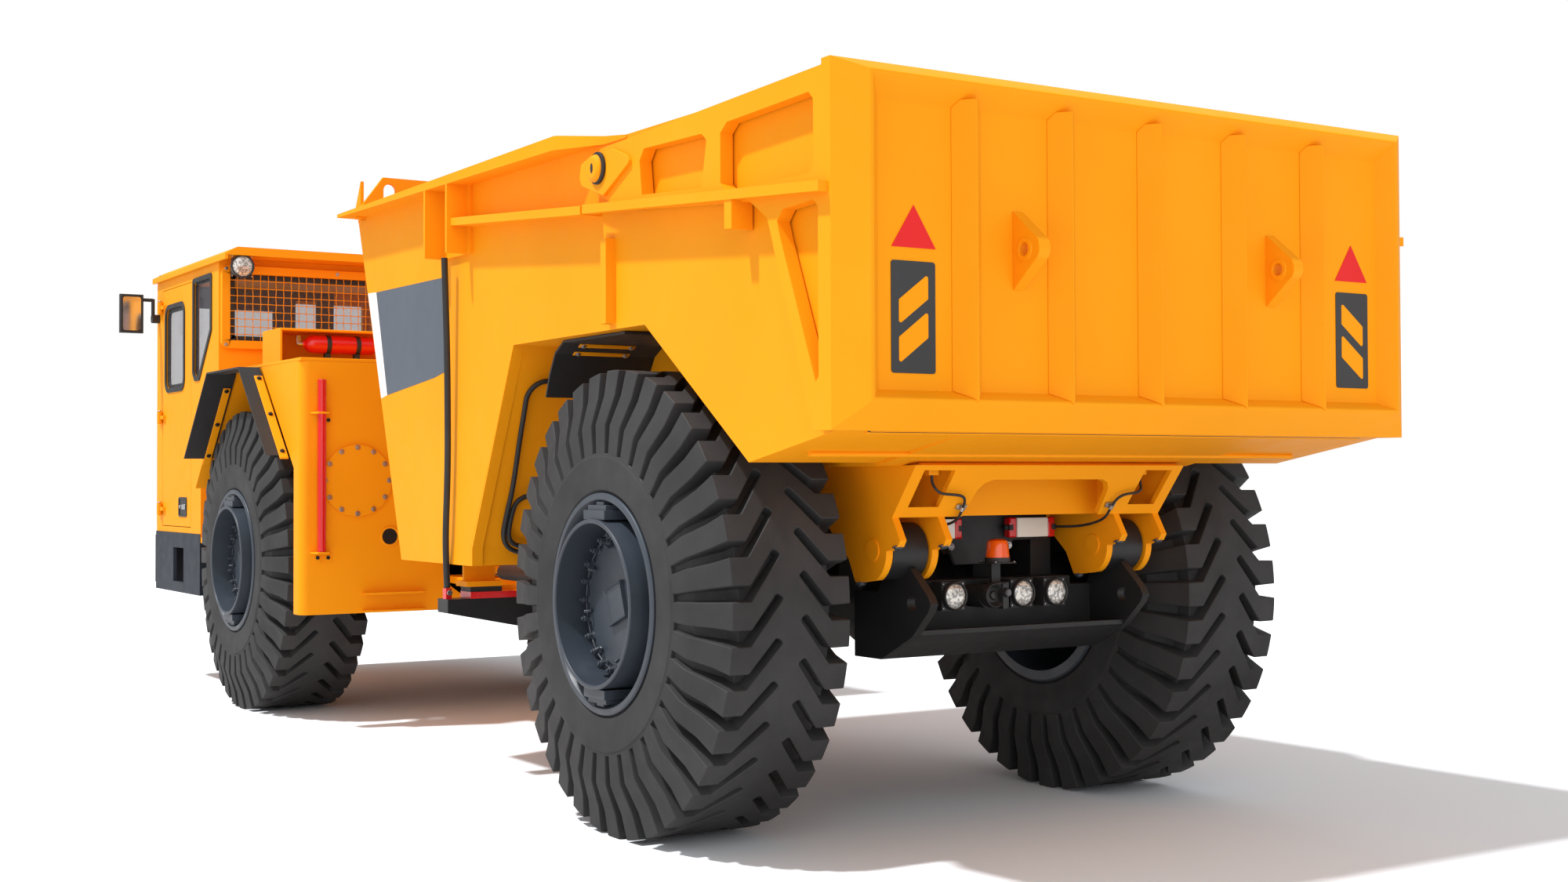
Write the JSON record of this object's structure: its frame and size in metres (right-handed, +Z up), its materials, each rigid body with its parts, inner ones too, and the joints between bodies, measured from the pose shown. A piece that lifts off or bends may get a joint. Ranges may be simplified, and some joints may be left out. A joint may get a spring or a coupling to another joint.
{
  "type": "articulated mining truck",
  "caption": "Low two-axle articulated dump truck with a tipping load body, hinged tailgate, side cab and centre hitch steering.",
  "frame": {"origin": "on the ground under the middle of the truck's overall length and width", "axes": "+X forward towards the cab end, +Y to the truck's left, +Z up"},
  "size_m": [10.207, 3.52, 3.3598],
  "materials": {
    "body_paint": "satin orange-yellow paint",
    "frame_paint": "satin black paint",
    "slate_paint": "satin slate-grey paint",
    "dark_steel": "dark steel",
    "cast_metal": "cast",
    "chrome": "polished",
    "glass": "tinted",
    "seat_fabric": "woven grey",
    "dark_plastic": "matt",
    "rubber": "matt",
    "tyre_rubber": "matt",
    "red_paint": "gloss red",
    "red_lens": "lens",
    "amber_lens": "lens"
  },
  "bodies": {
    "rear_frame": {"rear_frame": "frame_paint", "hinge_pins": "dark_steel", "rear_axle": "frame_paint", "rear_lamps": "dark_plastic", "beacon": "amber_lens", "rest_pads": "rubber", "rope_anchors": "red_paint"},
    "front_frame": {"front_tanks": "body_paint", "front_frame": "body_paint", "front_deck": "body_paint", "front_axle": "frame_paint", "cab_shell": "body_paint", "cab_glass": "glass", "cab_seats": "seat_fabric", "cab_console": "dark_plastic", "rear_guard": "body_paint", "engine_hood": "body_paint", "engine_block": "cast_metal", "grille": "frame_paint", "front_bumper": "slate_paint", "fender_flaps": "rubber", "tool_bin": "body_paint", "extinguisher": "red_paint", "lock_bar": "red_paint", "lock_brackets": "body_paint", "mirrors": "dark_plastic", "head_lamps": "dark_plastic", "exhaust": "cast_metal", "air_cleaner": "frame_paint", "deck_rail": "body_paint"},
    "load_body": {"load_body": "body_paint", "body_underframe": "body_paint", "tail_lamps": "red_lens", "lamp_lead_left": "rubber", "lamp_lead_right": "rubber", "arch_hose_long": "rubber", "arch_hose_short": "rubber", "gate_ropes": "rubber", "mudflaps": "rubber"},
    "tailgate": {"tailgate": "body_paint", "gate_ribs": "body_paint", "gate_lugs": "body_paint"},
    "cab_door": {"cab_door": "body_paint", "door_glass": "glass"},
    "wheel_rear_left": {"rim_rear_left": "slate_paint", "tyre_rear_left": "tyre_rubber"},
    "wheel_rear_right": {"rim_rear_right": "slate_paint", "tyre_rear_right": "tyre_rubber"},
    "wheel_front_left": {"rim_front_left": "slate_paint", "tyre_front_left": "tyre_rubber"},
    "wheel_front_right": {"rim_front_right": "slate_paint", "tyre_front_right": "tyre_rubber"},
    "hoist_barrel_left": {"hoist_barrel_left": "frame_paint"},
    "hoist_rod_left": {"hoist_rod_left": "chrome"},
    "steer_barrel_left": {"steer_barrel_left": "frame_paint"},
    "steer_rod_left": {"steer_rod_left": "chrome"},
    "hoist_barrel_right": {"hoist_barrel_right": "frame_paint"},
    "hoist_rod_right": {"hoist_rod_right": "chrome"},
    "steer_barrel_right": {"steer_barrel_right": "frame_paint"},
    "steer_rod_right": {"steer_rod_right": "chrome"}
  },
  "joints": [
    {"name": "articulation", "type": "hinge", "parent": "rear_frame", "child": "front_frame", "pos_m": [-0.0525, 0, 0.92], "axis": [0, 0, 1], "range_deg": [-40, 40]},
    {"name": "body_tip", "type": "hinge", "parent": "rear_frame", "child": "load_body", "pos_m": [-4.0125, 0, 1.26], "axis": [0, -1, 0], "range_deg": [0, 65]},
    {"name": "gate_swing", "type": "hinge", "parent": "load_body", "child": "tailgate", "pos_m": [-3.1525, 0, 2.94], "axis": [0, 1, 0], "range_deg": [0, 50]},
    {"name": "door_swing", "type": "hinge", "parent": "front_frame", "child": "cab_door", "pos_m": [4.8475, 1.473, 2.155], "axis": [0, 0, -1], "range_deg": [0, 80]},
    {"name": "wheel_rear_left_spin", "type": "hinge", "parent": "rear_frame", "child": "wheel_rear_left", "pos_m": [-3.1525, 1.2315, 1.025], "axis": [0, 1, 0], "continuous": true},
    {"name": "wheel_rear_right_spin", "type": "hinge", "parent": "rear_frame", "child": "wheel_rear_right", "pos_m": [-3.1525, -1.2315, 1.025], "axis": [0, 1, 0], "continuous": true},
    {"name": "wheel_front_left_spin", "type": "hinge", "parent": "front_frame", "child": "wheel_front_left", "pos_m": [2.4415, 1.2315, 1.025], "axis": [0, 1, 0], "continuous": true},
    {"name": "wheel_front_right_spin", "type": "hinge", "parent": "front_frame", "child": "wheel_front_right", "pos_m": [2.4415, -1.2315, 1.025], "axis": [0, 1, 0], "continuous": true},
    {"name": "hoist_barrel_left_turn", "type": "hinge", "parent": "rear_frame", "child": "hoist_barrel_left", "pos_m": [-1.6025, 0.74, 0.75], "axis": [0, -1, 0], "range_deg": [-12, 2]},
    {"name": "hoist_rod_left_slide", "type": "slide", "parent": "hoist_barrel_left", "child": "hoist_rod_left", "axis": [-0.8993, 0, 0.4373], "range_m": [0, 1.02]},
    {"name": "steer_barrel_left_turn", "type": "hinge", "parent": "rear_frame", "child": "steer_barrel_left", "pos_m": [-0.7025, 0.55, 1], "axis": [0, 0, 1], "range_deg": [-24, 24]},
    {"name": "steer_rod_left_slide", "type": "slide", "parent": "steer_barrel_left", "child": "steer_rod_left", "axis": [0.9994, -0.0357, 0], "range_m": [-0.37, 0.37]},
    {"name": "hoist_barrel_right_turn", "type": "hinge", "parent": "rear_frame", "child": "hoist_barrel_right", "pos_m": [-1.6025, -0.74, 0.75], "axis": [0, -1, 0], "range_deg": [-12, 2]},
    {"name": "hoist_rod_right_slide", "type": "slide", "parent": "hoist_barrel_right", "child": "hoist_rod_right", "axis": [-0.8993, 0, 0.4373], "range_m": [0, 1.02]},
    {"name": "steer_barrel_right_turn", "type": "hinge", "parent": "rear_frame", "child": "steer_barrel_right", "pos_m": [-0.7025, -0.55, 1], "axis": [0, 0, 1], "range_deg": [-24, 24]},
    {"name": "steer_rod_right_slide", "type": "slide", "parent": "steer_barrel_right", "child": "steer_rod_right", "axis": [0.9994, 0.0357, 0], "range_m": [-0.37, 0.37]}
  ],
  "couplings": [
    {"joint": "gate_swing", "follows": "body_tip", "ratio": 0.76923},
    {"joint": "hoist_barrel_left_turn", "follows": "body_tip", "ratio": -0.11812},
    {"joint": "hoist_rod_left_slide", "follows": "body_tip", "m_per_rad": 0.88667},
    {"joint": "steer_barrel_left_turn", "follows": "articulation", "ratio": 0.52512},
    {"joint": "steer_rod_left_slide", "follows": "articulation", "m_per_rad": -0.51575},
    {"joint": "hoist_barrel_right_turn", "follows": "body_tip", "ratio": -0.11812},
    {"joint": "hoist_rod_right_slide", "follows": "body_tip", "m_per_rad": 0.88667},
    {"joint": "steer_barrel_right_turn", "follows": "articulation", "ratio": 0.52512},
    {"joint": "steer_rod_right_slide", "follows": "articulation", "m_per_rad": 0.51575}
  ]
}
